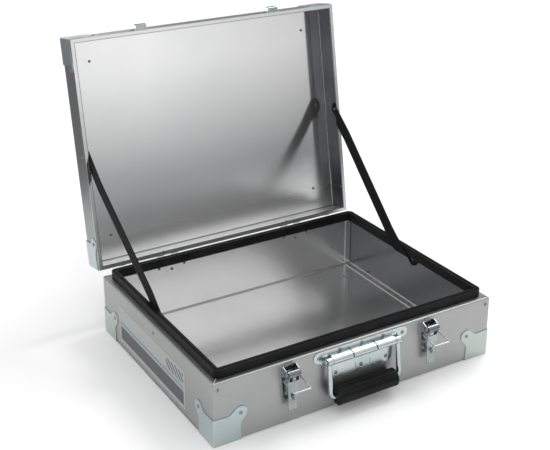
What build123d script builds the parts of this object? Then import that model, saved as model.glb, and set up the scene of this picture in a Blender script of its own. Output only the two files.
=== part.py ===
from build123d import *
import os
from math import cos, radians, sin

# Hard carrying case of folded aluminium sheet, shown with its lid standing open on two webbing stays.
# Frame: X across the width, front at -Y, Z up, z = 0 at the undersides of the steel corners it stands on.
# All sizes are in millimetres. The lid is described closed and then turned open about its hinge axis.

# ---- driving dimensions -------------------------------------------------------------------------
case_width = 500.0
case_depth = 387.0
base_rim_z = 103.2
lid_height = 45.5
rim_gap = 2.2
sheet = 1.2
open_angle = 99.4

guard_sheet = 1.2
ledge = 12.0
lip_height = 8.0
lid_flange = 6.5
flange_width = 13.0

hinge_off = 7.5
hinge_drop = 3.5
hinge_x = 125.0

latch_x = 126.0

# ---- derived places -----------------------------------------------------------------------------
half_w = case_width / 2
half_d = case_depth / 2
floor_z = guard_sheet
lid_rim_z = base_rim_z + rim_gap
lid_top_z = lid_rim_z + lid_height
axis_y = half_d + hinge_off
axis_z = base_rim_z - hinge_drop
bend_radius = 2.4
lip_foot = 0.3
slack = 0.05

lid_swing = Pos(0, axis_y, axis_z) * Rot(-open_angle, 0, 0) * Pos(0, -axis_y, -axis_z)

os.makedirs("parts", exist_ok=True)


def save(part, name):
    part.label = name
    export_step(part, f"parts/{name}.step")


# ---- planes on the walls: local x runs to the right as seen from outside, y up, z outwards --------
def front(x=0.0, z=0.0, off=0.0):
    return Plane(origin=(x, -half_d - off, z), x_dir=(1, 0, 0), z_dir=(0, -1, 0))


def back(x=0.0, z=0.0, off=0.0):
    return Plane(origin=(x, half_d + off, z), x_dir=(-1, 0, 0), z_dir=(0, 1, 0))


def side(sign, y=0.0, z=0.0, off=0.0):
    return Plane(origin=(sign * (half_w + off), y, z), x_dir=(0, sign, 0), z_dir=(sign, 0, 0))


def under(x, y, z):
    return Plane(origin=(x, y, z), x_dir=(1, 0, 0), z_dir=(0, 0, -1))


def over(x, y, z):
    return Plane(origin=(x, y, z), x_dir=(1, 0, 0), z_dir=(0, 0, 1))


def front_section(x):
    """Plane across the front wall at x: local x is the distance out from the wall, local y is z."""
    return Plane(origin=(x, -half_d, 0), x_dir=(0, -1, 0), z_dir=(-1, 0, 0))


def back_section(x):
    """Plane across the back wall at x: local x is the distance out from the wall, local y is z."""
    return Plane(origin=(x, half_d, 0), x_dir=(0, 1, 0), z_dir=(1, 0, 0))


def opened(plane):
    """A plane given on the closed lid, moved to where the open lid has it."""
    return Plane(lid_swing * plane.location)


# ---- fasteners ----------------------------------------------------------------------------------
shank_r = 1.6
head_r = 3.2
head_h = 1.0
tail_r = 2.3
tail_h = 1.6
mandrel_r = 0.85


def dome_rivet(grip):
    """Blind rivet: head above z = 0, shank down through the grip, swelled tail below it."""
    with BuildPart() as rivet:
        with BuildSketch(Plane.XZ):
            with BuildLine():
                Spline((0, head_h), (head_r, 0), tangents=((1, 0), (0.3, -1)))
                Polyline(
                    (head_r, 0), (shank_r, 0), (shank_r, -grip), (tail_r, -grip),
                    (tail_r, -grip - tail_h * 0.6), (tail_r * 0.6, -grip - tail_h),
                    (0, -grip - tail_h), (0, head_h),
                )
            make_face()
        revolve(axis=Axis.Z)
        with Locations((0, 0, head_h)):
            Cylinder(mandrel_r, 3.0, mode=Mode.SUBTRACT)
    return rivet.part


def flush_rivet(grip):
    """Countersunk rivet whose head ends level with z = 0, for the underside of the case."""
    with BuildPart() as rivet:
        with BuildSketch(Plane.XZ):
            with BuildLine():
                Polyline(
                    (0, 0), (head_r - 0.3, 0), (shank_r, -guard_sheet), (shank_r, -grip),
                    (tail_r, -grip), (tail_r, -grip - tail_h * 0.6), (tail_r * 0.6, -grip - tail_h),
                    (0, -grip - tail_h), close=True,
                )
            make_face()
        revolve(axis=Axis.Z)
    return rivet.part


def rivet_group(places, name):
    """One node of separate dome rivets. places lists (plane at the head's seat, grip)."""
    with BuildPart() as group:
        for plane, grip in places:
            with Locations(plane):
                add(dome_rivet(grip))
    save(group.part, name)


def drill(*groups, radius=shank_r + slack, depth=12.0):
    """Rivet holes through whatever sheet of the current part lies at these places."""
    for places in groups:
        with Locations(*[plane for plane, _ in places]):
            Cylinder(radius, depth, mode=Mode.SUBTRACT)


def countersink(places):
    """Seats for the flush heads on the underside."""
    for plane, _ in places:
        with Locations(plane):
            with Locations((0, 0, -guard_sheet / 2)):
                Cone(shank_r + slack, head_r - 0.3 + slack, guard_sheet, mode=Mode.SUBTRACT)


# ---- rivet places -------------------------------------------------------------------------------
guard_rivet = 43.5
guard_rivet_lid = 34.0
two_sheets = 2 * sheet + slack
guarded = guard_sheet + sheet
flange_rivet = 7.5
rim_rivet_drop = 11.0
signs = (-1, 1)

base_panel_rivets = []
for sx in signs:
    wall_x = sx * (half_w - flange_rivet)
    base_panel_rivets.append((front(wall_x, base_rim_z - rim_rivet_drop), two_sheets))
    base_panel_rivets.append((back(wall_x, base_rim_z - rim_rivet_drop), two_sheets))
    for rivet_y in (-139.0, 0.0, 139.0):
        base_panel_rivets.append((under(wall_x, rivet_y, floor_z), two_sheets))

guard_side_rivets = []
guard_floor_rivets = []
lid_guard_rivets = []
for sx in signs:
    for sy in signs:
        gx = sx * (half_w - guard_rivet)
        gy = sy * (half_d - guard_rivet)
        wall = front if sy < 0 else back
        guard_side_rivets.append((wall(gx, floor_z + guard_rivet, guard_sheet), guarded))
        guard_side_rivets.append((side(sx, gy, floor_z + guard_rivet, guard_sheet), guarded))
        guard_floor_rivets.append((under(gx, gy, 0), guarded))
        lid_guard_rivets.append((wall(gx, lid_top_z - guard_rivet_lid, guard_sheet), guarded))
        lid_guard_rivets.append((side(sx, gy, lid_top_z - guard_rivet_lid, guard_sheet), guarded))
        lid_guard_rivets.append((over(gx, gy, lid_top_z + guard_sheet), guarded))
lid_guard_rivets = [(opened(plane), grip) for plane, grip in lid_guard_rivets]

leaf_sheet = 1.6
hinge_rivets_base = []
hinge_rivets_lid = []
for hx in (-hinge_x, hinge_x):
    for dx, low in ((-24, 0.0), (0, 5.5), (24, 0.0)):
        hinge_rivets_base.append((back(hx + dx, base_rim_z - 12.8 - low, leaf_sheet), leaf_sheet + sheet))
        lid_seat = back(hx + dx, lid_rim_z + 10.2 + low, leaf_sheet)
        hinge_rivets_lid.append((opened(lid_seat), leaf_sheet + sheet))

handle_sheet = 1.6
handle_hold = handle_sheet + sheet
handle_tab_x = 75.6
handle_rivets = []
for x in (-handle_tab_x, handle_tab_x):
    handle_rivets.append((front(x, 91.5, handle_sheet), handle_hold))
for x in (-39.0, 0.0, 39.0):
    handle_rivets.append((front(x, 96.3, handle_sheet), handle_hold))
for x in (-45.6, 0.0, 45.6):
    handle_rivets.append((front(x, 59.5, handle_sheet), handle_hold))

latch_sheet = 1.5
latch_rivets = []
for lx in (-latch_x, latch_x):
    for z in (97.0, 62.0):
        latch_rivets.append((front(lx, z, latch_sheet), latch_sheet + sheet))

catch_sheet = 1.2
catch_rivets = []
for lx in (-latch_x, latch_x):
    for dx in (-8.5, 8.5):
        catch_rivets.append((opened(front(lx + dx, lid_rim_z + 16, catch_sheet)), catch_sheet + sheet))

strap_sheet = 1.4
strap_base_z = 90.0
strap_lid_z = lid_rim_z + 12.0
strap_grip = sheet + strap_sheet
strap_rivets_base = [(side(sx, 0, strap_base_z), strap_grip) for sx in signs]
strap_rivets_lid = [(opened(side(sx, 0, strap_lid_z)), strap_grip) for sx in signs]


# ---- base: folded shell with two flanged side panels --------------------------------------------
def cut_mitres(keep_front, depth=30.0, gap=0.1):
    """Removes, at all four corners, the share of the folded rim that belongs to the neighbouring wall."""
    low = base_rim_z - bend_radius - slack
    high = base_rim_z + lip_height + 1
    for sx in signs:
        for sy in signs:
            if keep_front:
                shape = ((-gap, 1), (-depth - gap, -depth), (1, -depth), (1, 1))
            else:
                shape = ((1, -gap), (-depth, -depth - gap), (-depth, 1), (1, 1))
            with BuildSketch(Plane.XY.offset(low)) as wedge:
                with BuildLine():
                    Polyline(*[(sx * (half_w + u), sy * (half_d + v)) for u, v in shape], close=True)
                make_face()
            extrude(wedge.sketch, amount=high - low, mode=Mode.SUBTRACT)


def trim_lip_ends(keep_front, inset=8.0):
    """Shortens the upright lips so that they stop clear of one another in the corners."""
    low = base_rim_z + 0.02
    lip_in = ledge + sheet + 1
    length_x = ledge + inset if keep_front else lip_in
    length_y = lip_in if keep_front else ledge + inset
    for sx in signs:
        for sy in signs:
            with BuildSketch(Plane.XY.offset(low)) as lip_end:
                with Locations((sx * (half_w - length_x / 2), sy * (half_d - length_y / 2))):
                    Rectangle(length_x, length_y)
            extrude(lip_end.sketch, amount=2 * lip_height, mode=Mode.SUBTRACT)


with BuildPart() as base_shell:
    with BuildSketch(Plane.YZ):
        with BuildLine():
            fold = FilletPolyline(
                (-half_d + ledge, base_rim_z + lip_height),
                (-half_d + ledge, base_rim_z),
                (-half_d, base_rim_z),
                (-half_d, floor_z),
                (half_d, floor_z),
                (half_d, base_rim_z),
                (half_d - ledge, base_rim_z),
                (half_d - ledge, base_rim_z + lip_height),
                radius=(lip_foot, bend_radius, bend_radius, bend_radius, bend_radius, lip_foot),
            )
            offset(fold, amount=sheet, side=Side.LEFT)
        make_face()
    extrude(amount=half_w, both=True)
    cut_mitres(True)
    trim_lip_ends(True)
    drill(base_panel_rivets, guard_side_rivets, hinge_rivets_base, handle_rivets, latch_rivets)
    drill(guard_floor_rivets)
save(base_shell.part, "base_shell")

pan_z = floor_z + sheet + slack
pan_y = half_d - sheet - slack
with BuildPart() as base_side_right:
    with BuildSketch(Plane.XZ):
        with BuildLine():
            fold = FilletPolyline(
                (half_w - ledge, base_rim_z + lip_height),
                (half_w - ledge, base_rim_z),
                (half_w, base_rim_z),
                (half_w, pan_z),
                (half_w - flange_width, pan_z),
                radius=(lip_foot, bend_radius, bend_radius),
            )
            offset(fold, amount=sheet, side=Side.RIGHT)
        make_face()
    extrude(amount=pan_y, both=True)
    for sy in signs:
        with BuildSketch(Plane.XZ.offset(-sy * pan_y)):
            with Locations((half_w - flange_width / 2, (pan_z + base_rim_z - bend_radius) / 2)):
                Rectangle(flange_width, base_rim_z - bend_radius - pan_z)
        extrude(amount=sy * sheet)
        with Locations((half_w, sy * pan_y, pan_z)):
            Box(2 * flange_width + 4, 2 * bend_radius, 2 * bend_radius, mode=Mode.SUBTRACT)
    cut_mitres(False)
    trim_lip_ends(False)
    drill(base_panel_rivets, guard_side_rivets, strap_rivets_base)
save(base_side_right.part, "base_side_right")

with BuildPart() as base_side_left:
    mirror(base_side_right.part, about=Plane.YZ)
save(base_side_left.part, "base_side_left")

rivet_group(base_panel_rivets, "base_panel_rivets")

# ---- rubber seal pushed over the raised lip -----------------------------------------------------
seal_out = 9.0
seal_in = 18.0
seal_height = 13.0
seal_corner = 9.0
seal_top = base_rim_z + seal_height
lip_top = base_rim_z + lip_height
lip_in_face = ledge + sheet
groove_out = seal_out + 3.2
groove_in = seal_out + 5.0


def ring(inset_out, inset_in, z_low, z_high, mode=Mode.ADD):
    """A frame-shaped band that runs round the rim between two insets from the outer wall."""
    round_out = max(seal_corner + seal_out - inset_out, 1.0)
    round_in = max(seal_corner + seal_out - inset_in, 1.0)
    with BuildSketch(Plane.XY.offset(z_low)) as band:
        RectangleRounded(case_width - 2 * inset_out, case_depth - 2 * inset_out, round_out)
        RectangleRounded(case_width - 2 * inset_in, case_depth - 2 * inset_in, round_in, mode=Mode.SUBTRACT)
    extrude(band.sketch, amount=z_high - z_low, mode=mode)


with BuildPart() as rim_seal:
    ring(seal_out, seal_in, base_rim_z + slack, seal_top)
    ring(ledge - 0.35, lip_in_face + 0.1, base_rim_z - 1, lip_top + 0.1, mode=Mode.SUBTRACT)
    ring(groove_out, groove_in, seal_top - 1.5, seal_top + 1, mode=Mode.SUBTRACT)
    ring(lip_in_face + 0.3, seal_in, base_rim_z - sheet - 0.8, base_rim_z + 2)
save(rim_seal.part, "rim_seal")

# ---- pressed steel corners ----------------------------------------------------------------------
guard_leg = 44.0
lobe_r = 10.5


def guard_face(reach_u, reach_v, rivet_u, rivet_v):
    """One face of a corner: a square with hollowed edges and a rounded lobe round its rivet."""
    lobe_top = (rivet_u - lobe_r * 0.35, rivet_v + lobe_r * 0.94)
    lobe_end = (rivet_u + lobe_r * 0.94, rivet_v - lobe_r * 0.35)
    waist_u = reach_u * 0.46
    waist_v = reach_v * 0.46
    with BuildSketch() as face:
        with BuildLine():
            Polyline((-guard_sheet, reach_v), (-guard_sheet, -guard_sheet), (reach_u, -guard_sheet))
            Line((reach_u, -guard_sheet), (reach_u - 1.2, waist_v))
            Spline((reach_u - 1.2, waist_v), lobe_end, tangents=((-0.05, 1), (0.35, 0.94)))
            ThreePointArc(lobe_end, (rivet_u + lobe_r * 0.707, rivet_v + lobe_r * 0.707), lobe_top)
            Spline(lobe_top, (waist_u, reach_v - 1.2), tangents=((-0.94, -0.35), (-1, 0.05)))
            Line((waist_u, reach_v - 1.2), (-guard_sheet, reach_v))
        make_face()
    return face.sketch


def corner_guard(reach_z, rivet_z, flush):
    """Corner plate with its inner corner at the origin and its legs along +X, +Y and +Z."""
    with BuildPart() as guard:
        with BuildSketch(Plane.XY):
            add(guard_face(guard_leg, guard_leg, guard_rivet, guard_rivet))
        extrude(amount=-guard_sheet)
        with BuildSketch(Plane(origin=(0, 0, 0), x_dir=(1, 0, 0), z_dir=(0, -1, 0))):
            add(guard_face(guard_leg, reach_z, guard_rivet, rivet_z))
        extrude(amount=guard_sheet)
        with BuildSketch(Plane(origin=(0, 0, 0), x_dir=(0, 1, 0), z_dir=(1, 0, 0))):
            add(guard_face(guard_leg, reach_z, guard_rivet, rivet_z))
        extrude(amount=-guard_sheet)
        sharp = [
            edge for edge in guard.edges().filter_by(GeomType.LINE)
            if sum(abs(value + guard_sheet) < 1e-4 for value in tuple(edge.center())) == 2
            and edge.length > reach_z * 0.8
        ]
        fillet(sharp, radius=1.1)
        holes = (
            Plane(origin=(guard_rivet, guard_rivet, 0), z_dir=(0, 0, 1)),
            Plane(origin=(guard_rivet, 0, rivet_z), z_dir=(0, 1, 0)),
            Plane(origin=(0, guard_rivet, rivet_z), z_dir=(1, 0, 0)),
        )
        with Locations(*holes):
            Cylinder(shank_r + slack, 6, mode=Mode.SUBTRACT)
        if flush:
            countersink([(under(guard_rivet, guard_rivet, -guard_sheet), 0)])
    return guard.part


base_guard = corner_guard(guard_leg, guard_rivet, flush=True)
lid_guard = corner_guard(39.0, guard_rivet_lid, flush=False)
corners = {
    "front_left": (-1, -1, 0),
    "front_right": (1, -1, 90),
    "back_right": (1, 1, 180),
    "back_left": (-1, 1, 270),
}
for place, (sx, sy, turn) in corners.items():
    with BuildPart() as guard:
        with Locations(Pos(sx * half_w, sy * half_d, floor_z) * Rot(0, 0, turn)):
            add(base_guard)
    save(guard.part, f"base_corner_{place}")
    with BuildPart() as guard:
        upturned = Rot(0, 0, turn + 90) * Rot(180, 0, 0)
        with Locations(lid_swing * Pos(sx * half_w, sy * half_d, lid_top_z) * upturned):
            add(lid_guard)
    save(guard.part, f"lid_corner_{place}")

with BuildPart() as base_corner_rivets:
    for plane, grip in guard_side_rivets:
        with Locations(plane):
            add(dome_rivet(grip))
    for plane, grip in guard_floor_rivets:
        with Locations(plane):
            add(flush_rivet(grip))
save(base_corner_rivets.part, "base_corner_rivets")
rivet_group(lid_guard_rivets, "lid_corner_rivets")

# ---- lid: one folded tray with an inturned rim --------------------------------------------------
with BuildPart() as lid_tray:
    with BuildSketch(opened(Plane.XY.offset(lid_rim_z))):
        Rectangle(case_width, case_depth)
    extrude(amount=lid_height)
    lid_normal = opened(Plane.XY).z_dir
    top_face = lid_tray.faces().sort_by(Axis((0, 0, 0), tuple(lid_normal)))[-1]
    fillet(top_face.edges(), radius=bend_radius)
    with BuildSketch(opened(Plane.XY.offset(lid_rim_z + sheet))):
        Rectangle(case_width - 2 * sheet, case_depth - 2 * sheet)
    extrude(amount=lid_height - 2 * sheet, mode=Mode.SUBTRACT)
    with BuildSketch(opened(Plane.XY.offset(lid_rim_z - 1))):
        Rectangle(case_width - 2 * lid_flange, case_depth - 2 * lid_flange)
    extrude(amount=sheet + 2, mode=Mode.SUBTRACT)
    for sx in signs:
        for sy in signs:
            with BuildSketch(opened(Plane.XY.offset(lid_rim_z - 1))):
                with BuildLine():
                    Polyline(
                        (sx * (half_w - sheet - 0.6), sy * (half_d - sheet - 0.6)),
                        (sx * (half_w - lid_flange - 1.0), sy * (half_d - lid_flange - 0.7)),
                        (sx * (half_w - lid_flange - 0.7), sy * (half_d - lid_flange - 1.0)),
                        close=True,
                    )
                make_face()
            extrude(amount=sheet + 1.2, mode=Mode.SUBTRACT)
    drill(lid_guard_rivets, hinge_rivets_lid, catch_rivets, strap_rivets_lid)
save(lid_tray.part, "lid_tray")

# ---- hinges: cranked leaves with five knuckles each ---------------------------------------------
leaf_width = 68.0
knuckle_r = 4.2
hinge_pin_r = 1.75
knuckles = 5
knuckle_gap = 0.5
knuckle_pitch = leaf_width / knuckles


def hinge_leaf(hx, owned, plate_edge, bend_z, web_z, rivets, place):
    """A leaf on the back wall; owned says which knuckles, place moves its planes with the lid or not."""
    low, high = sorted((plate_edge, bend_z))
    with BuildPart() as leaf:
        with BuildSketch(place(back(hx, (low + high) / 2))) as plate:
            Rectangle(leaf_width, high - low)
            fillet(plate.vertices().group_by(Axis.Y)[0 if plate_edge < bend_z else -1], radius=3.5)
        extrude(amount=leaf_sheet)
        for index in owned:
            x = hx - leaf_width / 2 + (index + 0.5) * knuckle_pitch
            with BuildSketch(place(back_section(x))):
                with BuildLine():
                    Polyline(
                        (0, bend_z), (leaf_sheet, bend_z), (hinge_off + 0.8, web_z),
                        (hinge_off - 1.6, axis_z), (0.4, (bend_z + axis_z) / 2), (0, bend_z),
                    )
                make_face()
                with Locations((hinge_off, axis_z)):
                    Circle(knuckle_r)
                    Circle(hinge_pin_r + slack, mode=Mode.SUBTRACT)
            extrude(amount=(knuckle_pitch - knuckle_gap) / 2, both=True)
        drill(rivets)
    return leaf.part


def unmoved(plane):
    return plane


base_leaf_low = base_rim_z - 26.0
base_leaf_bend = base_rim_z - 9.0
lid_leaf_high = lid_rim_z + 21.5
lid_leaf_bend = lid_rim_z + 4.5
web_off = 3.2
pin_end = leaf_width / 2 + 0.2
for name, hx in (("left", -hinge_x), ("right", hinge_x)):
    lower = hinge_leaf(
        hx, (0, 2, 4), base_leaf_low, base_leaf_bend, axis_z - web_off, hinge_rivets_base, unmoved
    )
    save(lower, f"hinge_{name}_base_leaf")
    upper = hinge_leaf(
        hx, (1, 3), lid_leaf_high, lid_leaf_bend, axis_z + web_off, hinge_rivets_lid, opened
    )
    save(upper, f"hinge_{name}_lid_leaf")
    with BuildPart() as hinge_pin:
        with BuildSketch(Plane(origin=(hx, axis_y, axis_z), z_dir=(1, 0, 0))):
            Circle(hinge_pin_r)
        extrude(amount=pin_end, both=True)
        for end in signs:
            with BuildSketch(Plane(origin=(hx + end * pin_end, axis_y, axis_z), z_dir=(end, 0, 0))):
                Circle(2.8)
            extrude(amount=1.2, taper=20)
    save(hinge_pin.part, f"hinge_{name}_pin")

rivet_group(hinge_rivets_base, "hinge_rivets_base")
rivet_group(hinge_rivets_lid, "hinge_rivets_lid")

# ---- sprung carrying handle ---------------------------------------------------------------------
handle_axis_off = 8.2
handle_axis_z = 85.5
barrel_r = 5.6
barrel_bore = 4.6
handle_pin_r = 2.2
leg_x = 62.0
rod_r = 3.8
grip_off = 15.4
grip_z = 28.0
grip_r = 14.2
grip_half = 52.5
spring_x = 39.5
spring_barrel = 34.0
middle_barrel = 41.0
pin_bore = handle_pin_r + slack
handle_pin_end = leg_x + 6.4
barrels = (
    (-spring_x, spring_barrel, barrel_bore),
    (0.0, middle_barrel, pin_bore),
    (spring_x, spring_barrel, barrel_bore),
)


def handle_axis(x=0.0, facing=1):
    """Plane across the handle's pin at x, with its local x pointing away from the front wall."""
    return Plane(
        origin=(x, -half_d - handle_axis_off, handle_axis_z), x_dir=(0, -1, 0), z_dir=(facing, 0, 0)
    )


with BuildPart() as handle_plate:
    with BuildSketch(front(0, 0)):
        with BuildLine():
            Polyline((-75.6, 101.0), (75.6, 101.0))
            ThreePointArc((75.6, 101.0), (84.6, 92.0), (75.6, 83.0))
            Polyline((75.6, 83.0), (69.5, 79.0), (57.0, 79.0), (57.0, 59.5))
            ThreePointArc((57.0, 59.5), (54.4, 53.1), (48.0, 50.5))
            Line((48.0, 50.5), (-48.0, 50.5))
            ThreePointArc((-48.0, 50.5), (-54.4, 53.1), (-57.0, 59.5))
            Polyline((-57.0, 59.5), (-57.0, 79.0), (-69.5, 79.0), (-75.6, 83.0))
            ThreePointArc((-75.6, 83.0), (-84.6, 92.0), (-75.6, 101.0))
        make_face()
    extrude(amount=handle_sheet)
    for x, length, bore in barrels:
        with BuildSketch(front_section(x)):
            with BuildLine():
                Polyline(
                    (0.4, handle_axis_z - 7.5), (handle_axis_off, handle_axis_z - barrel_r),
                    (handle_axis_off, handle_axis_z + barrel_r), (0.4, handle_axis_z + 7.5), close=True,
                )
            make_face()
            with Locations((handle_axis_off, handle_axis_z)):
                Circle(barrel_r)
                Circle(bore, mode=Mode.SUBTRACT)
        extrude(amount=length / 2, both=True)
    for slot_x in (-11.5, 14.5):
        with BuildSketch(front(slot_x, 58.5, handle_sheet)):
            with BuildLine():
                Line((1.8, 6.0), (1.8, -1.5))
                ThreePointArc((1.8, -1.5), (0.4, -4.4), (-2.4, -4.6))
                offset(amount=0.8)
            make_face()
        extrude(amount=-0.9, mode=Mode.SUBTRACT)
    drill(handle_rivets)
save(handle_plate.part, "handle_plate")

with BuildPart() as handle_pin:
    with BuildSketch(handle_axis()):
        Circle(handle_pin_r)
    extrude(amount=handle_pin_end, both=True)
    for end in signs:
        with BuildSketch(handle_axis(end * handle_pin_end, end)):
            Circle(4.0)
        extrude(amount=1.6, taper=25)
save(handle_pin.part, "handle_pin")

spring_wire_r = 0.55
spring_coil_r = 3.55
spring_turns = 8
spring_pitch = 3.4
spring_length = spring_turns * spring_pitch
for name, x in (("left", -spring_x), ("right", spring_x)):
    with BuildPart() as spring:
        start = (x - spring_length / 2, -half_d - handle_axis_off, handle_axis_z)
        with BuildLine() as coil:
            Helix(spring_pitch, spring_length, spring_coil_r, center=start, direction=(1, 0, 0))
        with BuildSketch(Plane(origin=coil.line @ 0, z_dir=coil.line % 0)):
            Circle(spring_wire_r)
        sweep(path=coil.line, is_frenet=True)
    save(spring.part, f"handle_spring_{name}")

rivet_group(handle_rivets, "handle_rivets")

with BuildPart() as handle_bail:
    bail_drop = handle_axis_z - grip_z
    leg_plane = Plane(
        origin=(0, -half_d - handle_axis_off, handle_axis_z),
        x_dir=(1, 0, 0),
        z_dir=(0, -bail_drop, grip_off - handle_axis_off),
    )
    reach = (bail_drop**2 + (grip_off - handle_axis_off) ** 2) ** 0.5
    with BuildLine(leg_plane) as bow:
        FilletPolyline(
            (-leg_x, -4.5), (-leg_x, -reach), (leg_x, -reach), (leg_x, -4.5), radius=9.0,
        )
    with BuildSketch(Plane(origin=bow.line @ 0, z_dir=bow.line % 0)):
        Circle(rod_r)
    sweep(path=bow.line)
    for end in signs:
        with BuildSketch(handle_axis(end * leg_x, end)):
            Circle(barrel_r + 0.2)
            Circle(pin_bore, mode=Mode.SUBTRACT)
        extrude(amount=4.6, both=True)
    with Locations(handle_axis()):
        Cylinder(pin_bore, 2 * leg_x + 20, mode=Mode.SUBTRACT)
save(handle_bail.part, "handle_bail")

with BuildPart() as handle_grip:
    with BuildSketch(Plane(origin=(0, -half_d - grip_off, grip_z), x_dir=(0, -1, 0), z_dir=(-1, 0, 0))):
        Circle(grip_r)
        with PolarLocations(grip_r + 0.5, 10, start_angle=18):
            Circle(1.5, mode=Mode.SUBTRACT)
    extrude(amount=grip_half, both=True)
    with Locations(Plane(origin=(0, -half_d - grip_off, grip_z), z_dir=(1, 0, 0))):
        Cylinder(rod_r + slack, 2 * leg_x, mode=Mode.SUBTRACT)
save(handle_grip.part, "handle_grip")

# ---- toggle latches -----------------------------------------------------------------------------
pivot_off = 11.5
pivot_z = 88.0
latch_pin_r = 1.6
ear_x = 10.9
ear_half = 0.7
cheek_x = 8.9
cheek_half = 0.75
lever_barrel_r = 5.5
loop_off = 8.0
loop_z = 78.5
loop_reach = 29.9
loop_half = 14.2
loop_wire_r = 1.2
loop_droop = 9.0
lever_face = 13.6
lever_foot = 10.2
eye_off = 13.4
eye_z = 50.0
cheek_out = cheek_x + cheek_half
pin_reach = ear_x + ear_half + 0.05


def latch_axis(x, off, z, facing=1):
    """Plane across a cross-hole of a latch, off millimetres in front of the wall."""
    return Plane(origin=(x, -half_d - off, z), z_dir=(facing, 0, 0))


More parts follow.
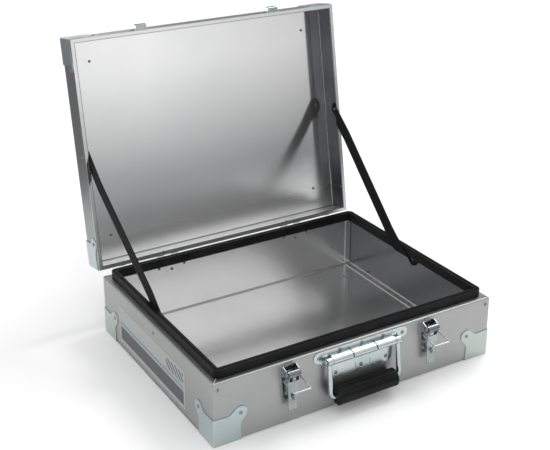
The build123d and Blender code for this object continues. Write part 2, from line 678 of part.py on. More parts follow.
for name, lx in (("left", -latch_x), ("right", latch_x)):
    with BuildPart() as latch_base:
        with BuildSketch(front(lx, 0)) as outline:
            with BuildLine():
                Polyline(
                    (-7.0, 102.0), (7.0, 102.0), (13.0, 93.0), (13.0, 76.0), (10.0, 46.0), (6.0, 42.0),
                    (-6.0, 42.0), (-10.0, 46.0), (-13.0, 76.0), (-13.0, 93.0), close=True,
                )
            make_face()
            fillet(outline.vertices(), radius=2.5)
        extrude(amount=latch_sheet)
        for dx in (-ear_x, ear_x):
            with BuildSketch(front_section(lx + dx)):
                with Locations((pivot_off, pivot_z)):
                    Circle(4.2)
                with Locations((0.9, 89.0)):
                    Rectangle(0.6, 17.0)
                make_hull()
                with Locations((pivot_off, pivot_z)):
                    Circle(latch_pin_r + 0.02, mode=Mode.SUBTRACT)
            extrude(amount=ear_half, both=True)
        with BuildSketch(front_section(lx)):
            with BuildLine():
                Polyline((1.0, eye_z - 3.5), (eye_off, eye_z - 3.5))
                ThreePointArc((eye_off, eye_z - 3.5), (eye_off + 3.5, eye_z), (eye_off, eye_z + 3.5))
                Polyline((eye_off, eye_z + 3.5), (1.0, eye_z + 3.5), (1.0, eye_z - 3.5))
            make_face()
            with Locations((eye_off, eye_z)):
                Circle(1.7, mode=Mode.SUBTRACT)
        extrude(amount=1.0, both=True)
        drill(latch_rivets)
    save(latch_base.part, f"latch_{name}_base")

    with BuildPart() as latch_pin:
        with BuildSketch(latch_axis(lx, pivot_off, pivot_z)):
            Circle(latch_pin_r)
        extrude(amount=pin_reach, both=True)
        for end in signs:
            with BuildSketch(latch_axis(lx + end * pin_reach, pivot_off, pivot_z, end)):
                Circle(2.5)
            extrude(amount=0.7, taper=25)
    save(latch_pin.part, f"latch_{name}_pin")

    with BuildPart() as latch_lever:
        with BuildSketch(front_section(lx)):
            with Locations((pivot_off, pivot_z)):
                Circle(lever_barrel_r)
        extrude(amount=cheek_x, both=True)
        for dx in (-cheek_x, cheek_x):
            with BuildSketch(front_section(lx + dx)):
                with Locations((pivot_off, pivot_z)):
                    Circle(lever_barrel_r)
                with Locations((loop_off, loop_z)):
                    Circle(3.0)
                make_hull()
            extrude(amount=cheek_half, both=True)
            with BuildSketch(front_section(lx + dx)):
                with BuildLine():
                    Polyline(
                        (pivot_off + lever_barrel_r - 0.6, pivot_z), (lever_face, 76.0), (11.2, 46.0),
                        (9.4, 46.0), (loop_off - 2.2, loop_z - 2.0), (loop_off, loop_z + 4.0), close=True,
                    )
                make_face()
            extrude(amount=cheek_half, both=True)
        with BuildSketch(front_section(lx)):
            with BuildLine():
                Polyline(
                    (lever_face, 76.5), (lever_foot, 36.0), (lever_foot + 1.8, 29.0),
                    (lever_foot + 1.2, 26.5), (lever_foot + 0.1, 27.0), (lever_foot + 0.5, 29.0),
                    (lever_foot - 1.3, 35.6), (lever_face - 1.3, 76.5), close=True,
                )
            make_face()
        extrude(amount=cheek_out, both=True)
        with BuildSketch(front(lx, 0)):
            with BuildLine():
                Polyline(
                    (-cheek_out, 96.0), (cheek_out, 96.0), (cheek_out, 70.0), (7.2, 48.0),
                    (7.0, 24.0), (-7.0, 24.0), (-7.2, 48.0), (-cheek_out, 70.0), close=True,
                )
            make_face()
        extrude(amount=30.0, mode=Mode.INTERSECT)
        with BuildSketch(front(lx, eye_z)):
            Rectangle(4.6, 13.0)
        extrude(amount=30.0, mode=Mode.SUBTRACT)
        with Locations(latch_axis(lx, pivot_off, pivot_z)):
            Cylinder(latch_pin_r + slack, 60, mode=Mode.SUBTRACT)
        with Locations(latch_axis(lx, loop_off, loop_z)):
            Cylinder(loop_wire_r + slack, 60, mode=Mode.SUBTRACT)
    save(latch_lever.part, f"latch_{name}_lever")

    with BuildPart() as latch_loop:
        loop_plane = Plane(
            origin=(lx, -half_d - loop_off, loop_z),
            x_dir=(1, 0, 0),
            z_dir=(0, -sin(radians(loop_droop)), cos(radians(loop_droop))),
        )
        with BuildLine(loop_plane) as wire:
            FilletPolyline(
                (-cheek_x + 1.6, 0), (-loop_half, 0), (-loop_half, -loop_reach),
                (loop_half, -loop_reach), (loop_half, 0), (cheek_x - 1.6, 0),
                radius=2.4,
            )
        with BuildSketch(Plane(origin=wire.line @ 0, z_dir=wire.line % 0)):
            Circle(loop_wire_r)
        sweep(path=wire.line)
    save(latch_loop.part, f"latch_{name}_loop")

    with BuildPart() as lid_catch:
        with BuildSketch(opened(front(lx, 0))):
            with Locations((0, lid_rim_z + 11.5)):
                RectangleRounded(27.0, 22.0, 3.0)
        extrude(amount=catch_sheet)
        with BuildSketch(opened(front_section(lx))):
            with BuildLine():
                lip = FilletPolyline(
                    (0.6, lid_rim_z + 0.6), (9.0, lid_rim_z + 0.6), (9.6, lid_rim_z + 8.0), radius=2.4,
                )
                offset(lip, amount=catch_sheet / 2, side=Side.BOTH)
            make_face()
        extrude(amount=9.0, both=True)
        drill(catch_rivets)
    save(lid_catch.part, f"lid_catch_{name}")

rivet_group(latch_rivets, "latch_rivets")
rivet_group(catch_rivets, "lid_catch_rivets")

# ---- webbing stays ------------------------------------------------------------------------------
strap_width = 25.0
strap_overhang = 11.0
strap_gap = 0.6
lid_end = opened(side(1, 0, strap_lid_z)).origin
run_y = lid_end.Y
run_z = lid_end.Z - strap_base_z
run = (run_y**2 + run_z**2) ** 0.5
pull = (0, run_y / run, run_z / run)
square_to_pull = (0, run_z / run, -run_y / run)
wall_x = half_w - sheet
low_x = half_w - seal_in - strap_gap
high_x = half_w - lid_flange - strap_gap
pull_low = 31.5
pull_past_seal = 62.4
pull_near_rim = run - 60.5
pull_high = run - 30.5
tip = 7.0
tip_low = tip - strap_overhang
tip_high = run + strap_overhang - tip


def strap_tab(plane, x_free, heights, turn):
    """Folded end of a stay, in the section of its wall.

    It stands upright beside the rim, slants outwards past it and lies flat on the wall. The heights are
    those of its free end, of the fold beside the rim, of the fold on the wall and of its end on the wall.
    """
    z_free, z_fold, z_wall, z_end = heights
    with BuildPart() as tab:
        with BuildSketch(plane):
            with BuildLine():
                path = Polyline((x_free, z_free), (x_free, z_fold), (wall_x, z_wall), (wall_x, z_end))
                offset(path, amount=strap_sheet, side=turn)
            make_face()
        extrude(amount=60.0, both=True)
    return tab.part


def strap(sx):
    """Flat webbing pulled straight from the base wall, up past the seal, to the wall of the open lid."""
    across = Plane(origin=(0, 0, strap_base_z), x_dir=pull, z_dir=(1, 0, 0))
    edge_on = Plane(origin=(0, 0, strap_base_z), x_dir=pull, z_dir=square_to_pull)
    section = Plane(origin=(0, 0, 0), x_dir=(1, 0, 0), z_dir=(0, -1, 0))
    base_heights = [base_rim_z + rise for rise in (16.8, -3.7, -8.7, -32.0)]
    lid_heights = [lid_rim_z + rise for rise in (-18.0, 2.2, 5.5, 30.0)]
    with BuildPart() as webbing:
        add(strap_tab(section, low_x, base_heights, Side.RIGHT))
        add(strap_tab(opened(section), high_x, lid_heights, Side.LEFT))
        with BuildSketch(edge_on):
            with BuildLine():
                Polyline(
                    (pull_low, low_x), (pull_past_seal, low_x),
                    (pull_near_rim, high_x), (pull_high, high_x),
                    (pull_high, high_x - strap_sheet), (pull_near_rim, high_x - strap_sheet),
                    (pull_past_seal, low_x - strap_sheet), (pull_low, low_x - strap_sheet), close=True,
                )
            make_face()
        extrude(amount=strap_width, both=True)
        with BuildSketch(across):
            with BuildLine():
                Polyline(
                    (-strap_overhang, 0), (tip_low, -strap_width / 2), (tip_high, -strap_width / 2),
                    (run + strap_overhang, 0), (tip_high, strap_width / 2), (tip_low, strap_width / 2),
                    close=True,
                )
            make_face()
        extrude(amount=half_w, mode=Mode.INTERSECT)
        drill([place for place in strap_rivets_base + strap_rivets_lid if place[0].origin.X > 0], depth=8.0)
    if sx > 0:
        return webbing.part
    with BuildPart() as mirrored:
        mirror(webbing.part, about=Plane.YZ)
    return mirrored.part


for name, sx in (("left", -1), ("right", 1)):
    save(strap(sx), f"stay_strap_{name}")
rivet_group(strap_rivets_base, "strap_rivets_base")
rivet_group(strap_rivets_lid, "strap_rivets_lid")

# ---- printed vinyl label on the left wall -------------------------------------------------------
with BuildPart() as side_label:
    with BuildSketch(side(-1, 13.0, 45.0)):
        RectangleRounded(240.0, 66.0, 4.0)
    extrude(amount=0.25)
save(side_label.part, "side_label")
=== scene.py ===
import math
import bpy
from mathutils import Matrix, Vector


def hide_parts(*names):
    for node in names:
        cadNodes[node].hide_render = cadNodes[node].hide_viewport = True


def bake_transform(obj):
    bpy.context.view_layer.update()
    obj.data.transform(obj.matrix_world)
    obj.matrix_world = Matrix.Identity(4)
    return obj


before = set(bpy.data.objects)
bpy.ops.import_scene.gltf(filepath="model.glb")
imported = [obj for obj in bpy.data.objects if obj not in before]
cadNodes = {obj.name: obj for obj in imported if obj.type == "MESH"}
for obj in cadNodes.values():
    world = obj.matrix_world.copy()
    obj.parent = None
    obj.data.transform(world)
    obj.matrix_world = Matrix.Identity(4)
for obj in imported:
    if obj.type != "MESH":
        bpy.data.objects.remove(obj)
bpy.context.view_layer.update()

# ---------- sockets as numbers, node trees as expressions ----------

class Signal:
    # one output socket; arithmetic on it makes Math nodes
    def __init__(self, tree, socket):
        self.tree = tree
        self.socket = socket

    def op(self, kind, *others, clamp=False):
        made = self.tree.nodes.new("ShaderNodeMath")
        made.operation = kind
        made.use_clamp = clamp
        self.tree.links.new(self.socket, made.inputs[0])
        for at, other in enumerate(others, 1):
            self.feed(made.inputs[at], other)
        return Signal(self.tree, made.outputs[0])

    def flipped(self, kind, first):
        made = self.tree.nodes.new("ShaderNodeMath")
        made.operation = kind
        self.feed(made.inputs[0], first)
        self.tree.links.new(self.socket, made.inputs[1])
        return Signal(self.tree, made.outputs[0])

    def feed(self, target, value):
        if isinstance(value, Signal):
            self.tree.links.new(value.socket, target)
        else:
            target.default_value = value

    def __add__(self, other): return self.op("ADD", other)
    def __radd__(self, other): return self.op("ADD", other)
    def __sub__(self, other): return self.op("SUBTRACT", other)
    def __rsub__(self, other): return self.flipped("SUBTRACT", other)
    def __mul__(self, other): return self.op("MULTIPLY", other)
    def __rmul__(self, other): return self.op("MULTIPLY", other)
    def __truediv__(self, other): return self.op("DIVIDE", other)
    def __rtruediv__(self, other): return self.flipped("DIVIDE", other)
    def __lt__(self, other): return self.op("LESS_THAN", other)
    def __gt__(self, other): return self.op("GREATER_THAN", other)
    def __abs__(self): return self.op("ABSOLUTE")
    def __pow__(self, other): return self.op("POWER", other)
    def sine(self): return self.op("SINE")
    def most(self, other): return self.op("MAXIMUM", other)
    def kept(self): return self.op("ADD", 0.0, clamp=True)
    def ramp(self, low, high): return ((self - low) / (high - low)).kept()


class Finish:
    # a material with its Principled node and helpers
    def __init__(self, name, fixed):
        self.material = bpy.data.materials.new(name)
        self.material.use_nodes = True
        self.tree = self.material.node_tree
        self.tree.nodes.clear()
        self.shader = self.tree.nodes.new("ShaderNodeBsdfPrincipled")
        self.output = self.tree.nodes.new("ShaderNodeOutputMaterial")
        self.tree.links.new(self.shader.outputs[0], self.output.inputs[0])
        for socket, value in fixed.items():
            self.shader.inputs[socket].default_value = value
        self.place = self.node("TexCoord", out="Object")
        self.x, self.y, self.z = (self.node("SeparateXYZ", None, {0: self.place}, axis) for axis in "XYZ")

    def node(self, kind, settings=None, inputs=None, out=0):
        made = self.tree.nodes.new("ShaderNode" + kind)
        for key, value in (settings or {}).items():
            setattr(made, key, value)
        for key, value in (inputs or {}).items():
            if isinstance(value, Signal):
                self.tree.links.new(value.socket, made.inputs[key])
            else:
                made.inputs[key].default_value = value
        return Signal(self.tree, made.outputs[out])

    def stretch(self, amounts):
        return self.node("VectorMath", {"operation": "MULTIPLY"}, {0: self.place, 1: amounts})

    def noise(self, scale, detail=3.0, rough=0.5, stretch=None):
        spot = self.stretch(stretch) if stretch else self.place
        inputs = {"Vector": spot, "Scale": scale, "Detail": detail, "Roughness": rough}
        return self.node("TexNoise", None, inputs)

    def cells(self, scale):
        return self.node("TexVoronoi", {"feature": "F1"}, {"Vector": self.place, "Scale": scale})

    def mix(self, amount, first, second):
        first, second = (c if isinstance(c, Signal) else (*c, 1.0) for c in (first, second))
        return self.node("Mix", {"data_type": "RGBA"}, {0: amount, 6: first, 7: second}, 2)

    def set(self, **signals):
        for name, value in signals.items():
            self.tree.links.new(value.socket, self.shader.inputs[name.replace("_", " ")])

    def relief(self, height, strength, distance, plain=None):
        # plain marks dead flat sheet, where the face's own normal is taken
        inputs = {"Height": height, "Strength": strength, "Distance": distance}
        if plain:
            smooth = self.node("NewGeometry", out="Normal")
            flat = self.node("NewGeometry", out="True Normal")
            inputs["Normal"] = self.node("Mix", {"data_type": "VECTOR"}, {0: plain, 4: smooth, 5: flat}, 1)
        self.set(Normal=self.node("Bump", None, inputs))


def between(value, low, high):
    return (value > low) * (value < high)


def dress(finish, *nodeNames):
    for nodeName in nodeNames:
        obj = cadNodes[nodeName]
        for slot in obj.material_slots:
            slot.material = finish.material


# ---------- folded aluminium sheet ----------
print("sheet")
sheetLook = {
    "tone": (0.40, 0.405, 0.40), "dark": (0.35, 0.355, 0.355), "light": (0.55, 0.55, 0.545), "rough": 0.40,
}
# the shell's inside; its fold tone is painted shade along the folds between the floor and the front and
# back walls
shellInside = {
    "tone": (0.80, 0.80, 0.795), "dark": (0.72, 0.722, 0.725), "rough": 0.24, "paintedFold": (0.24, 0.24, 0.25),
}
# the side panels' inner faces, painted far darker than the shell's inside as painted shade though the sheet
# is the same; the fold tone is a painted highlight along the side folds and flange edges
sideInsidePaintedLight = {
    "tone": (0.19, 0.193, 0.20), "dark": (0.15, 0.153, 0.16), "rough": 0.22, "paintedFold": (0.92, 0.92, 0.91),
}
# inner faces of the walls, floor and rim of the base, and the edge of the side panels' flanges
basePlaces = {
    "front": 0.1929, "side": 0.2494, "floor": 0.0018, "rim": 0.1024, "wallFace": 0.2477,
    "flangeEdge": (0.2363, 0.2378), "shellFold": (0.1904, 0.0050), "sideFold": (0.2464, 0.0058),
}


def aluminium(name, look, innerLook, folds):
    # satin outside, mill-bright where the sheet faces the inside of the case; the side panels' inner faces
    # take innerLook's tones, painted darker as painted shade; folds marks its creases, painted as a fold
    # line
    finish = Finish(name, {"Metallic": 0.94})
    inner = (abs(finish.y) < basePlaces["front"]) * (abs(finish.x) < basePlaces["side"])
    inner = inner * between(finish.z, basePlaces["floor"], basePlaces["rim"])
    cloud = finish.noise(5.5, 4.0, 0.6)
    grain = finish.noise(160.0, 2.0, 0.6, stretch=(0.06, 1.0, 1.0))
    fine = finish.noise(900.0, 2.0, 0.7)
    scuff = finish.noise(34.0, 6.0, 0.75).ramp(0.62, 0.74)
    tone = finish.mix(cloud.ramp(0.3, 0.7), look["dark"], look["tone"])
    tone = finish.mix(grain.ramp(0.45, 0.95) * 0.12, tone, look["light"])
    tone = finish.mix(scuff * 0.12, tone, look["light"])
    bright = finish.mix(cloud.ramp(0.3, 0.7), shellInside["dark"], shellInside["tone"])
    # painted shade: the side panels' inner faces darker than the rest of the inside
    paintedShadeWallTone = finish.mix(cloud.ramp(0.3, 0.7), innerLook["dark"], innerLook["tone"])
    bright = finish.mix(abs(finish.x) > basePlaces["wallFace"], bright, paintedShadeWallTone)
    bright = finish.mix(scuff * 0.15, bright, look["light"])
    # painted fold line: painted shade along the shell's floor folds, painted highlight along the side
    # panels' folds and flange edges
    paintedFold = inner * folds(finish)
    bright = finish.mix(paintedFold * (scuff * 0.3 + 0.6), bright, innerLook["paintedFold"])
    rough = cloud * 0.08 + grain * 0.05 + fine * 0.05 + (look["rough"] - 0.09)
    sleek = cloud * 0.06 + grain * 0.04 + scuff * 0.04 + (innerLook["rough"] - 0.06)
    sleek = sleek + paintedFold * 0.25
    finish.set(Base_Color=finish.mix(inner, tone, bright), Roughness=inner * sleek + (1.0 - inner) * rough)
    waves = finish.noise(3.2, 1.0, 0.3)
    finish.relief(waves * 6.0 + grain * 0.04 + fine * 0.04, 0.3, 0.0012)
    return finish


def shellFolds(finish):
    outFrom, below = basePlaces["shellFold"]
    return (abs(finish.y) > outFrom) * (finish.z < below)


# these folds and flange edges get the side panels' fold tone, a painted highlight
def sideFolds(finish):
    outFrom, below = basePlaces["sideFold"]
    flangeEdge = between(abs(finish.x), *basePlaces["flangeEdge"])
    return flangeEdge.most((abs(finish.x) > outFrom) * (finish.z < below))


dress(aluminium("shellSheet", sheetLook, shellInside, shellFolds), "base_shell")
dress(aluminium("sideSheet", sheetLook, sideInsidePaintedLight, sideFolds), "base_side_left", "base_side_right")

# lid: satin outside, mill-bright inside. lidOut is the distance from the hinge line square to the lid,
# from its rim at 0.0057 to its panel at 0.0512, and lidUp the distance from the hinge line along the lid
lidLook = {
    "hinge": (0.201, 0.0997), "angle": math.radians(99.4), "panel": 0.0490, "panelBack": 0.0506,
    "side": 0.2494, "reach": (0.0083, 0.3939), "wallFace": 0.2484, "sideCrease": (0.2468, 0.2486),
    "hingeCrease": 0.0102, "flangeBack": 0.0072, "openingSide": 0.2446, "opening": (0.0129, 0.3891),
    "outer": ((0.27, 0.273, 0.28), (0.35, 0.353, 0.355)),
    "inner": ((0.72, 0.725, 0.73), (0.80, 0.80, 0.795)),
    # painted light: shade on the +x inner wall, the hinge fold and the rim's gap, highlight on the side
    # fold and the flange
    "paintedShadeWallTone": (0.065, 0.067, 0.073), "paintedFoldHighlight": (0.95, 0.95, 0.94), "paintedFoldShade": (0.25, 0.255, 0.26),
    "paintedFlangeHighlight": (0.66, 0.665, 0.665), "paintedGapShade": (0.26, 0.263, 0.27), "streak": (0.75, 0.75, 0.74),
}
lidSheet = Finish("lidSheet", {"Metallic": 0.95})
hingeY, hingeZ = lidLook["hinge"]
lidSine, lidCosine = math.sin(lidLook["angle"]), math.cos(lidLook["angle"])
lidOut = (lidSheet.y - hingeY) * lidSine + (lidSheet.z - hingeZ) * lidCosine
lidUp = (lidSheet.z - hingeZ) * lidSine - (lidSheet.y - hingeY) * lidCosine
inside = (lidOut < lidLook["panelBack"]) * (abs(lidSheet.x) < lidLook["side"])
inside = inside * between(lidUp, *lidLook["reach"])
cloud = lidSheet.noise(4.0, 4.0, 0.6)
grain = lidSheet.noise(150.0, 2.0, 0.6, stretch=(1.0, 0.07, 0.07))
fine = lidSheet.noise(900.0, 2.0, 0.7)
smear = lidSheet.noise(9.0, 5.0, 0.7).ramp(0.55, 0.75)
outerTone = lidSheet.mix(cloud.ramp(0.3, 0.7), *lidLook["outer"])
innerTone = lidSheet.mix(cloud.ramp(0.3, 0.7), *lidLook["inner"])
# painted shade: the lid's inner wall on the +x side painted near black
innerTone = lidSheet.mix(lidSheet.x > lidLook["wallFace"], innerTone, lidLook["paintedShadeWallTone"])
nearPanel = lidOut > lidLook["panel"]
sideCrease = between(lidSheet.x, *lidLook["sideCrease"]) * nearPanel
hingeCrease = (lidUp < lidLook["hingeCrease"]) * nearPanel
# painted highlight along the side fold beside the panel
innerTone = lidSheet.mix(sideCrease, innerTone, lidLook["paintedFoldHighlight"])
# painted shade along the fold at the hinge
innerTone = lidSheet.mix(hingeCrease, innerTone, lidLook["paintedFoldShade"])
tone = lidSheet.mix(inside, outerTone, innerTone)
tone = lidSheet.mix(grain.ramp(0.5, 0.95) * 0.10, tone, lidLook["streak"])
rimFlange = between(lidOut, 0.0, lidLook["flangeBack"])
# painted shade: the flange's strip by the opening painted dark as the gap's shade
rimGapShadeMask = rimFlange * (abs(lidSheet.x) < lidLook["openingSide"]) * between(lidUp, *lidLook["opening"])
# painted highlight: the rim flange painted light
tone = lidSheet.mix(rimFlange, tone, lidLook["paintedFlangeHighlight"])
tone = lidSheet.mix(rimGapShadeMask, tone, lidLook["paintedGapShade"])
outerRough = cloud * 0.1 + 0.3
nearHinge = 1.0 - lidUp.ramp(0.02, 0.15)
innerRough = cloud * 0.04 + smear * 0.04 + nearHinge * 0.22 + sideCrease * 0.4 + 0.075
lidSheet.set(Base_Color=tone, Roughness=inside * innerRough + (1.0 - inside) * outerRough)
waves = lidSheet.noise(2.2, 1.0, 0.3)
lidSheet.relief(waves * 3.0 + grain * 0.012 + fine * 0.004, 0.25, 0.0012, inside)
dress(lidSheet, "lid_tray")

# ---------- pressed and plated steel ----------
print("steel")


def plated(name, tones, rough, speckle=1.0, darkReflectionAxes=(), tint=None):
    # darkReflectionAxes are (y, z, radius) of polished barrels along X, painted dark as a painted
    # reflection of dark surroundings; tint is the warm cast of the plating
    finish = Finish(name, {"Metallic": 1.0, "Coat Weight": 0.1, "Coat Roughness": 0.2})
    spangle = finish.cells(260.0)
    cloud = finish.noise(22.0, 4.0, 0.65)
    streak = finish.noise(300.0, 3.0, 0.6, stretch=(1.0, 1.0, 0.15))
    tone = finish.mix(cloud.ramp(0.32, 0.68), tones[0], tones[1])
    tone = finish.mix(streak.ramp(0.5, 0.9) * 0.3 * speckle, tone, tones[2])
    if tint:
        cast = finish.noise(11.0, 2.0, 0.5).ramp(0.46, 0.66)
        tone = finish.mix(cast * 0.6, tone, tint)
    gloss = cloud * 0.10 + spangle * 0.03 * speckle + streak * 0.05 * speckle + (rough - 0.07)
    for axisY, axisZ, radius in darkReflectionAxes:
        away = ((finish.y - axisY) ** 2.0 + (finish.z - axisZ) ** 2.0) ** 0.5
        # painted reflection: the barrel's dark mirror image painted into its colour
        paintedReflectionBarrel = away < radius
        tone = finish.mix(paintedReflectionBarrel, tone, (0.20, 0.215, 0.22))
        gloss = gloss - paintedReflectionBarrel * 0.1
    finish.set(Base_Color=tone, Roughness=gloss)
    finish.relief(cloud * 1.2 + streak * 0.08 * speckle + spangle * 0.02 * speckle, 0.3, 0.0006)
    return finish


guardSteel = plated(
    "guardSteel", ((0.42, 0.50, 0.52), (0.50, 0.56, 0.56), (0.7, 0.75, 0.74)), 0.34, 0.25,
    tint=(0.49, 0.50, 0.44),
)
dress(guardSteel, *[n for n in cadNodes if "_corner_" in n and "rivets" not in n])
zincSteel = plated("zincSteel", ((0.44, 0.51, 0.51), (0.58, 0.64, 0.63), (0.82, 0.85, 0.83)), 0.24, 0.6)
dress(zincSteel, "handle_plate", "handle_bail")
dress(zincSteel, *[f"hinge_{s}_{k}_leaf" for s in ("left", "right") for k in ("base", "lid")])
latchSteel = plated(
    "latchSteel", ((0.30, 0.33, 0.33), (0.42, 0.45, 0.45), (0.66, 0.69, 0.68)), 0.24, 0.5,
    darkReflectionAxes=[(-0.205, 0.088, 0.0057)],
)
dress(latchSteel, *[f"latch_{s}_{k}" for s in ("left", "right") for k in ("base", "lever")])
dress(latchSteel, "lid_catch_left", "lid_catch_right")
dress(zincSteel, *[f"latch_{s}_loop" for s in ("left", "right")])
pinSteel = plated("pinSteel", ((0.32, 0.33, 0.34), (0.45, 0.46, 0.47), (0.7, 0.71, 0.72)), 0.16)
dress(pinSteel, *[n for n in cadNodes if n.endswith("_pin") or "spring" in n])
rivetMetal = plated("rivetMetal", ((0.16, 0.165, 0.17), (0.30, 0.305, 0.31), (0.8, 0.8, 0.8)), 0.2)
dress(rivetMetal, *[n for n in cadNodes if "rivets" in n])
# the swelled tails seen inside the lid, and the rivets of the hinge's lower leaves
tailMetal = plated("tailMetal", ((0.10, 0.10, 0.105), (0.20, 0.20, 0.205), (0.5, 0.5, 0.5)), 0.3)
dress(tailMetal, "lid_corner_rivets", "hinge_rivets_base")

# ---------- rubber ----------
print("rubber")


def rubber(name, tones, rough, grainScale):
    finish = Finish(name, {"Metallic": 0.0, "Specular IOR Level": 0.13})
    dust = finish.noise(40.0, 5.0, 0.7)
    grain = finish.noise(grainScale, 3.0, 0.7)
    gloss = dust * 0.2 + grain * 0.15 + (rough - 0.17)
    finish.set(Base_Color=finish.mix(dust.ramp(0.4, 0.75), *tones), Roughness=gloss)
    finish.relief(grain + dust * 0.5, 0.4, 0.0004)
    return finish


sealRubber = rubber("sealRubber", ((0.004, 0.004, 0.0045), (0.012, 0.012, 0.013)), 0.42, 700.0)
dress(sealRubber, "rim_seal")
gripRubber = rubber("gripRubber", ((0.004, 0.004, 0.0045), (0.010, 0.010, 0.011)), 0.36, 1100.0)
dress(gripRubber, "handle_grip")

# ---------- printed label ----------
print("label")
labelLook = {
    "left": 0.133, "foot": 0.012, "across": (0.006, 0.234), "high": (0.006, 0.060),
    "bandTop": 0.030, "stripe": (0.034, 0.038), "hatchFrom": (0.176, 0.042), "hatchPitch": 0.012,
    "ground": ((0.33, 0.34, 0.34), (0.40, 0.41, 0.41)),
    "bandTone": (0.045, 0.050, 0.058), "stripeTone": (0.10, 0.22, 0.25), "hatchTone": (0.05, 0.055, 0.06),
}
label = Finish("labelVinyl", {"Metallic": 0.0, "Coat Weight": 0.1, "Coat Roughness": 0.3})
across = labelLook["left"] - label.y
high = label.z - labelLook["foot"]
speck = label.noise(500.0, 3.0, 0.7)
ground = label.mix(speck.ramp(0.4, 0.8), *labelLook["ground"])
inset = between(across, *labelLook["across"]) * between(high, *labelLook["high"])
band = inset * (high < labelLook["bandTop"])
stripe = inset * between(high, *labelLook["stripe"])
hatched = inset * (across > labelLook["hatchFrom"][0]) * (high > labelLook["hatchFrom"][1])
hatch = hatched * (((across + high) * (math.tau / labelLook["hatchPitch"])).sine() > 0.0)
tone = label.mix(band, ground, labelLook["bandTone"])
tone = label.mix(stripe, tone, labelLook["stripeTone"])
tone = label.mix(hatch, tone, labelLook["hatchTone"])
label.set(Base_Color=tone, Roughness=speck * 0.15 + 0.3)
label.relief(speck + band.most(hatch) * 0.6, 0.25, 0.0002)
dress(label, "side_label")

# ---------- webbing stays ----------
print("stays")
webbing = Finish("webbing", {"Metallic": 0.0, "Specular IOR Level": 0.14})
weave = {"warp": 0.0014, "weft": 0.0022, "hem": (0.0100, 0.0109)}
alongUv = webbing.node("TexCoord", out="UV")
run, wide = (webbing.node("SeparateXYZ", None, {0: alongUv}, axis) for axis in "XY")
warp = (wide * (math.tau / weave["warp"])).sine()
weft = (run * (math.tau / weave["weft"]) + warp * 1.2).sine()
fuzz = webbing.noise(1500.0, 3.0, 0.8)
hem = between(abs(wide), *weave["hem"])
tone = webbing.mix((weft * 0.5 + 0.5) * (fuzz + 0.3), (0.003, 0.003, 0.0035), (0.014, 0.014, 0.015))
webbing.set(Base_Color=webbing.mix(hem, tone, (0.02, 0.02, 0.021)), Roughness=fuzz * 0.25 + 0.55)
webbing.relief(weft * 0.6 + warp * 0.3 + fuzz * 0.6 - hem * 1.0, 0.6, 0.0004)

# start and end are the rivets as (y, z). wall, beside and pastRim are how far out the webbing lies on the
# walls, inside the seal and inside the lid's rim; the ranges say where it passes from one to the next
stay = {
    "width": 0.025, "thick": 0.0013, "start": (0.0, 0.090), "end": (0.2497, 0.2959),
    "wall": 0.2486, "beside": 0.2313, "pastRim": 0.2428, "overhang": 0.011, "steps": 110, "across": 8,
    "leaveBase": (0.0945, 0.0998), "reachLid": (0.0022, 0.0060), "rimOut": 0.0057,
    "pastSeal": 0.0624, "beforeRim": 0.0605, "tipWidth": 0.35, "tipLength": 0.009, "edgeThin": 0.35,
}
spanY = stay["end"][0] - stay["start"][0]
spanZ = stay["end"][1] - stay["start"][1]
spanLength = math.hypot(spanY, spanZ)
dirY, dirZ = spanY / spanLength, spanZ / spanLength


def easing(value, low, high):
    # smooth step from 0 to 1
    t = min(max((value - low) / (high - low), 0.0), 1.0)
    return t * t * (3 - 2 * t)


def stayDepth(u, w):
    # where the webbing's outer face lies, at u along the stay and w across it
    y = stay["start"][0] + u * dirY - w * dirZ
    z = stay["start"][1] + u * dirZ + w * dirY
    leaveBase = easing(z, *stay["leaveBase"])
    rimDepth = (y - hingeY) * lidSine + (z - hingeZ) * lidCosine - stay["rimOut"]
    reachLid = easing(rimDepth, *stay["reachLid"])
    freeLength = spanLength - stay["beforeRim"] - stay["pastSeal"]
    lean = min(max((u - stay["pastSeal"]) / freeLength, 0.0), 1.0)
    free = stay["beside"] + (stay["pastRim"] - stay["beside"]) * lean
    x = stay["wall"] + (free - stay["wall"]) * leaveBase
    x = x + (stay["wall"] - x) * reachLid
    return Vector((x, y, z))


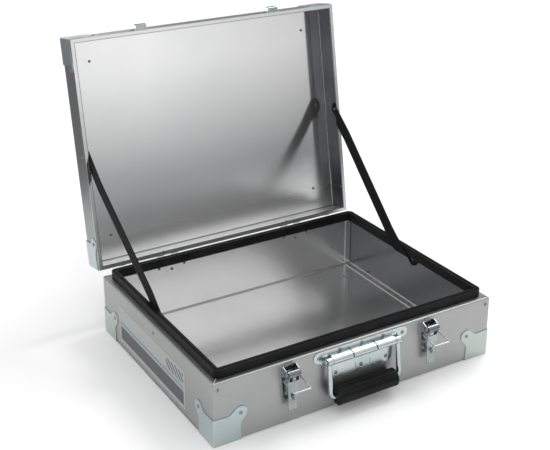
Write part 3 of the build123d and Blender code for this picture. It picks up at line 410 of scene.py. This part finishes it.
def makeStay(name, sign):
    half = stay["width"] / 2
    first, last = -stay["overhang"], spanLength + stay["overhang"]
    rows, faces = [], []
    for i in range(stay["steps"] + 1):
        u = first + (last - first) * i / stay["steps"]
        taper = min(1.0, *(stay["tipWidth"] + gap / stay["tipLength"] for gap in (u - first, last - u)))
        ring = []
        for face in (1, -1):
            for j in range(stay["across"] + 1):
                side = 2 * j / stay["across"] - 1
                w = half * taper * side * face
                fullness = 1.0 - stay["edgeThin"] * abs(side) ** 6
                spot = stayDepth(u, w)
                inset = stay["thick"] * (0.5 - face * 0.5 * fullness)
                ring.append((Vector((sign * (spot.x - inset), spot.y, spot.z)), (u, w)))
        rows.append(ring)
    count = len(rows[0])
    verts = [spot for ring in rows for spot, _ in ring]
    coords = [uv for ring in rows for _, uv in ring]
    for i in range(stay["steps"]):
        for j in range(count):
            a, b = i * count + j, i * count + (j + 1) % count
            quad = (a, b, b + count, a + count)
            faces.append(quad if sign < 0 else quad[::-1])
    firstEnd = tuple(range(count))
    lastEnd = tuple(range(len(verts) - count, len(verts)))
    faces.append(firstEnd[::-1] if sign < 0 else firstEnd)
    faces.append(lastEnd if sign < 0 else lastEnd[::-1])
    mesh = bpy.data.meshes.new(name)
    mesh.from_pydata(verts, [], faces)
    layer = mesh.uv_layers.new(name="weave")
    for loop in mesh.loops:
        layer.data[loop.index].uv = coords[loop.vertex_index]
    for polygon in mesh.polygons:
        polygon.use_smooth = True
    obj = bpy.data.objects.new(name, mesh)
    bpy.context.scene.collection.objects.link(obj)
    mesh.materials.append(webbing.material)
    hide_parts("stay_strap_left" if sign < 0 else "stay_strap_right")
    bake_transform(obj)


for name, sign in (("stayLeft", -1), ("stayRight", 1)):
    makeStay(name, sign)

# ---------- floor, light and camera ----------
print("stage")


def plane(name, corners, finish):
    mesh = bpy.data.meshes.new(name)
    mesh.from_pydata([Vector(c) for c in corners], [], [(0, 1, 2, 3)])
    obj = bpy.data.objects.new(name, mesh)
    bpy.context.scene.collection.objects.link(obj)
    mesh.materials.append(finish.material)
    return obj


paper = Finish("paper", {"Metallic": 0.0, "Specular IOR Level": 0.1})
fleck = paper.noise(6.0, 4.0, 0.6)
paper.set(Base_Color=paper.mix(fleck, (0.93, 0.93, 0.93), (0.97, 0.97, 0.97)), Roughness=fleck * 0.1 + 0.85)
reach = 14.0
floorCorners = ((-reach, -reach, 0), (reach, -reach, 0), (reach, reach, 0), (-reach, reach, 0))
floor = plane("floor", floorCorners, paper)


def reflectedOnly(obj):
    # boards that only shiny surfaces see
    obj.visible_camera = False
    obj.visible_diffuse = False
    obj.visible_shadow = False


def card(name, centre, target, width, height, tone):
    finish = Finish(name + "Board", {"Metallic": 0.0, "Roughness": 0.9})
    blotch = finish.noise(1.5, 3.0, 0.5)
    shade = finish.mix(blotch, tuple(v * 0.9 for v in tone), tone)
    finish.set(Base_Color=shade)
    aim = (Vector(target) - Vector(centre)).to_track_quat("Z", "Y")
    facing = Matrix.Translation(centre) @ aim.to_matrix().to_4x4()
    corners = ((-1, -1), (1, -1), (1, 1), (-1, 1))
    spots = [facing @ Vector((u * width / 2, v * height / 2, 0.0)) for u, v in corners]
    reflectedOnly(plane(name, spots, finish))


board = {
    "y": -0.85, "left": -0.35, "right": 1.5, "foot": 0.001, "top": 0.8, "rise": (0.10, 0.46),
    "fade": (0.40, 1.05), "fadeShare": 0.45, "drift": 0.06,
    "dark": (0.27, 0.275, 0.285), "light": (0.97, 0.97, 0.97), "black": (0.02, 0.02, 0.022),
}


def gradedBoard():
    # shades from light above to mid-grey below and to the right; the inside of the lid mirrors it
    finish = Finish("gradedBoard", {"Metallic": 0.0, "Roughness": 0.9, "Specular IOR Level": 0.0})
    drift = (finish.noise(1.2, 2.0, 0.5) - 0.5) * board["drift"]
    shade = finish.mix((finish.z + drift).ramp(*board["rise"]), board["dark"], board["light"])
    fade = (finish.x + drift).ramp(*board["fade"]) * board["fadeShare"]
    finish.set(Base_Color=finish.mix(fade, shade, board["black"]))
    left, right, y, foot, top = (board[key] for key in ("left", "right", "y", "foot", "top"))
    corners = ((right, y, foot), (left, y, foot), (left, y, top), (right, y, top))
    reflectedOnly(plane("frontBoard", corners, finish))


gradedBoard()
card("cardBackRight", (1.6, 1.9, 1.3), (0.1, 0.0, 0.0), 2.2, 1.6, (0.03, 0.03, 0.032))
card("cardBackLeft", (-0.52, 0.74, 0.2), (-0.25, 0.25, 0.25), 0.6, 0.45, (0.22, 0.22, 0.225))

world = bpy.data.worlds.new("studio")
bpy.context.scene.world = world
world.use_nodes = True
background = world.node_tree.nodes["Background"]
background.inputs["Color"].default_value = (1.0, 1.0, 1.0, 1.0)
background.inputs["Strength"].default_value = 0.95


def softbox(name, place, target, size, power):
    lamp = bpy.data.lights.new(name, "AREA")
    lamp.shape = "RECTANGLE"
    lamp.size, lamp.size_y = size
    lamp.energy = power
    obj = bpy.data.objects.new(name, lamp)
    obj.location = place
    obj.rotation_euler = (Vector(target) - Vector(place)).to_track_quat("-Z", "Y").to_euler()
    bpy.context.scene.collection.objects.link(obj)


softbox("keyLight", (1.6, 0.5, 2.4), (0.0, 0.0, 0.1), (1.0, 1.0), 26.0)
softbox("frontLight", (-0.6, -2.6, 1.4), (0.0, 0.0, 0.15), (1.4, 1.0), 7.0)

lens = {
    "azimuth": -30.98, "elevation": 21.50, "place": (-0.8310, -1.3287, 0.9152),
    "focal": 70.5, "shift": -0.0909, "sensor": 36.0,
}
cameraData = bpy.data.cameras.new("camera")
camera = bpy.data.objects.new("camera", cameraData)
bpy.context.scene.collection.objects.link(camera)
bpy.context.scene.camera = camera
azimuth, elevation = math.radians(lens["azimuth"]), math.radians(lens["elevation"])
outward = Vector((
    math.sin(azimuth) * math.cos(elevation), -math.cos(azimuth) * math.cos(elevation), math.sin(elevation),
))
camera.location = lens["place"]
camera.rotation_euler = outward.to_track_quat("Z", "Y").to_euler()
cameraData.sensor_width = lens["sensor"]
cameraData.lens = lens["focal"]
cameraData.shift_y = lens["shift"]
bpy.context.scene.view_settings.view_transform = "Standard"
